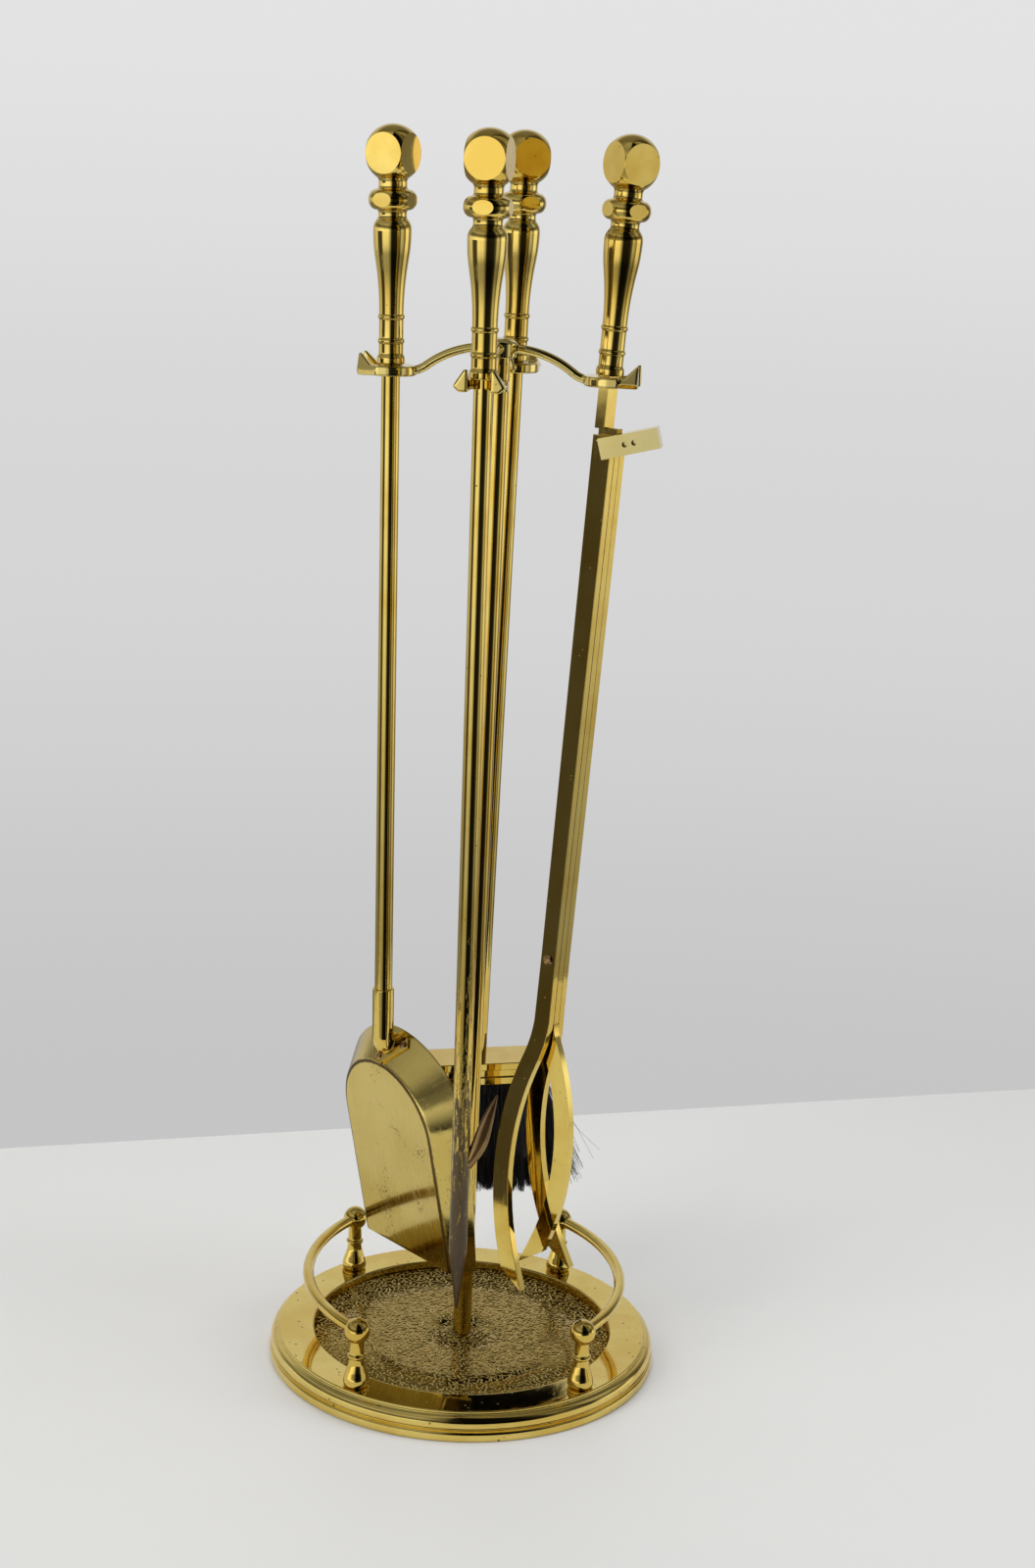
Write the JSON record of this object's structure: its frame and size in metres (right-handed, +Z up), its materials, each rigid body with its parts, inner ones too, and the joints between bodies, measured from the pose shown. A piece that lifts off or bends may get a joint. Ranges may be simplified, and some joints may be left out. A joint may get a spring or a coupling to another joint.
{
  "type": "fireplace tool set",
  "caption": "Brass fireplace companion set: shovel, poker, brush and claw tongs hang by their collars in the forks of a column on a round base with side rails.",
  "frame": {"origin": "on the floor under the middle of the round base", "axes": "+X to the right along the line between the side rails, -Y towards the front, +Z up along the column"},
  "size_m": [0.2448, 0.2448, 0.7612],
  "materials": {
    "brass_polished": "polished and lacquered brass with dark and cream reflections",
    "brass_satin": "satin brass with fine pits, polished roll round the edge",
    "brass_hammered": "olive-gold brass with a fine hammered, wavy relief",
    "brass_sheet": "pale rolled brass sheet with scuffs and brushed scratches",
    "brass_tarnished": "polished brass with dark pitting and heat tarnish towards the point",
    "bronze_rivet": "dull reddish bronze",
    "steel_zinc": "zinc-plated steel",
    "wood_block": "unfinished beech",
    "bristle_black": "stiff black bristle with a slight sheen"
  },
  "bodies": {
    "stand": {"base_plate": "brass_satin", "base_panel": "brass_hammered", "column": "brass_polished", "column_washer": "steel_zinc", "column_nut": "steel_zinc", "hook_bracket": "brass_polished", "bracket_screw": "steel_zinc", "post_front_left": "brass_polished", "post_front_right": "brass_polished", "post_rear_left": "brass_polished", "post_rear_right": "brass_polished", "post_screws": "steel_zinc", "rail_left": "brass_polished", "rail_right": "brass_polished"},
    "shovel": {"shovel_handle": "brass_polished", "shovel_shaft": "brass_polished", "shovel_socket": "brass_polished", "shovel_pan": "brass_sheet", "shovel_rivets": "bronze_rivet"},
    "poker": {"poker_handle": "brass_polished", "poker_shaft": "brass_tarnished", "poker_barb": "brass_tarnished"},
    "brush": {"brush_handle": "brass_polished", "brush_shaft": "brass_polished", "brush_cap": "brass_polished", "brush_block": "wood_block", "brush_bristles": "bristle_black"},
    "tongs": {"tongs_handle": "brass_polished", "tongs_fixed_arm": "brass_polished", "tongs_pivot_rivet": "bronze_rivet"},
    "tongs_claws": {"tongs_front_arm": "brass_polished", "tongs_rear_arm": "brass_polished", "tongs_thumb_block": "brass_polished"}
  },
  "joints": [
    {"name": "shovel_lift", "type": "slide", "parent": "stand", "child": "shovel", "axis": [-0.6555, 0.1346, 0.7431], "range_m": [0, 0.32]},
    {"name": "poker_lift", "type": "slide", "parent": "stand", "child": "poker", "axis": [-0.1346, -0.6555, 0.7431], "range_m": [0, 0.32]},
    {"name": "brush_lift", "type": "slide", "parent": "stand", "child": "brush", "axis": [0.1346, 0.6555, 0.7431], "range_m": [0, 0.32]},
    {"name": "tongs_lift", "type": "slide", "parent": "stand", "child": "tongs", "axis": [0.6555, -0.1346, 0.7431], "range_m": [0, 0.32]},
    {"name": "tongs_open", "type": "hinge", "parent": "tongs", "child": "tongs_claws", "pos_m": [0.04747, -0.016, 0.27033], "axis": [0.6577, 0.7524, -0.0356], "range_deg": [0, 24]}
  ],
  "couplings": [
    {"joint": "tongs_open", "follows": "tongs_lift", "rad_per_m": 1.308}
  ]
}
